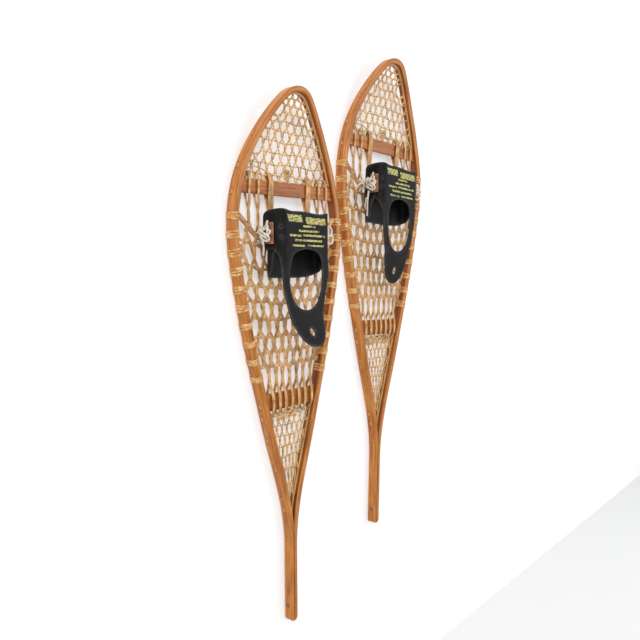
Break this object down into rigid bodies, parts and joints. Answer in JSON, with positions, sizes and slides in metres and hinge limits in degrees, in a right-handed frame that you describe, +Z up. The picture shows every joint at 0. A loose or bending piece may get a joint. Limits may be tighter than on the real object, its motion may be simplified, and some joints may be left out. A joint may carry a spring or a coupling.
{
  "type": "pair of snowshoes",
  "caption": "Pair of long-tailed bentwood snowshoes with rawhide webs and hinged rubber toe bindings, hanging upright with one shoe higher.",
  "frame": {"origin": "middle of the underside of the left shoe's front crossbar, where it rests on its wall peg", "axes": "+Z up from the tails to the toes, +Y to the wall behind, -Y to the walking side with the bindings, +X across from the left shoe to the right one"},
  "size_m": [0.7211, 0.1027, 1.3565],
  "materials": {
    "ash_rail": "satin varnish",
    "ash_bar": "satin varnish",
    "rawhide_fine": "satin",
    "rawhide_coarse": "satin",
    "rubber_sheet": "matte",
    "patch_leather": "matte",
    "cotton_cord": "matte",
    "rivet_steel": "dull"
  },
  "bodies": {
    "left_shoe": {"left_frame": "ash_rail", "left_front_crossbar": "ash_bar", "left_rear_crossbar": "ash_bar", "left_tail_rivets": "rivet_steel", "left_toe_lanyard": "rawhide_fine", "left_tail_lanyard": "rawhide_fine", "left_toe_lacing": "rawhide_fine", "left_centre_lacing": "rawhide_coarse", "left_tail_lacing": "rawhide_fine", "left_toe_strands": "rawhide_coarse", "left_heel_strands": "rawhide_coarse", "left_toe_cord": "rawhide_coarse", "left_rail_wraps": "rawhide_coarse"},
    "left_binding": {"left_instep_panel": "rubber_sheet", "left_toe_sleeve": "rubber_sheet", "left_side_patches": "patch_leather", "left_cord_ties": "cotton_cord", "left_outer_cord_end": "cotton_cord", "left_inner_cord_end": "cotton_cord"},
    "left_heel_loop": {"left_heel_strap": "rubber_sheet"},
    "right_shoe": {"right_frame": "ash_rail", "right_front_crossbar": "ash_bar", "right_rear_crossbar": "ash_bar", "right_tail_rivets": "rivet_steel", "right_toe_lanyard": "rawhide_fine", "right_tail_lanyard": "rawhide_fine", "right_toe_lacing": "rawhide_fine", "right_centre_lacing": "rawhide_coarse", "right_tail_lacing": "rawhide_fine", "right_toe_strands": "rawhide_coarse", "right_heel_strands": "rawhide_coarse", "right_toe_cord": "rawhide_coarse", "right_rail_wraps": "rawhide_coarse"},
    "right_binding": {"right_instep_panel": "rubber_sheet", "right_toe_sleeve": "rubber_sheet", "right_side_patches": "patch_leather", "right_cord_ties": "cotton_cord", "right_outer_cord_end": "cotton_cord", "right_hanging_cord_end": "cotton_cord", "right_inner_cord_end": "cotton_cord"},
    "right_heel_loop": {"right_heel_strap": "rubber_sheet"}
  },
  "joints": [
    {"name": "right_shoe_lift", "type": "slide", "parent": "left_shoe", "child": "right_shoe", "axis": [0, -1, 0], "range_m": [0, 0.3]},
    {"name": "left_binding_pivot", "type": "hinge", "parent": "left_shoe", "child": "left_binding", "pos_m": [0, -0.003, -0.093], "axis": [-1, 0, 0], "range_deg": [0, 28]},
    {"name": "left_heel_loop_flex", "type": "hinge", "parent": "left_binding", "child": "left_heel_loop", "pos_m": [0, -0.063, -0.1214], "axis": [-1, 0, 0], "range_deg": [-19, 83], "stiffness_Nm_per_rad": 0.06},
    {"name": "right_binding_pivot", "type": "hinge", "parent": "right_shoe", "child": "right_binding", "pos_m": [0.36223, -0.003, 0.04438], "axis": [-0.9993, 0, 0.0373], "range_deg": [0, 28]},
    {"name": "right_heel_loop_flex", "type": "hinge", "parent": "right_binding", "child": "right_heel_loop", "pos_m": [0.36117, -0.063, 0.016], "axis": [-0.9993, 0, 0.0373], "range_deg": [-7, 95], "stiffness_Nm_per_rad": 0.06}
  ]
}
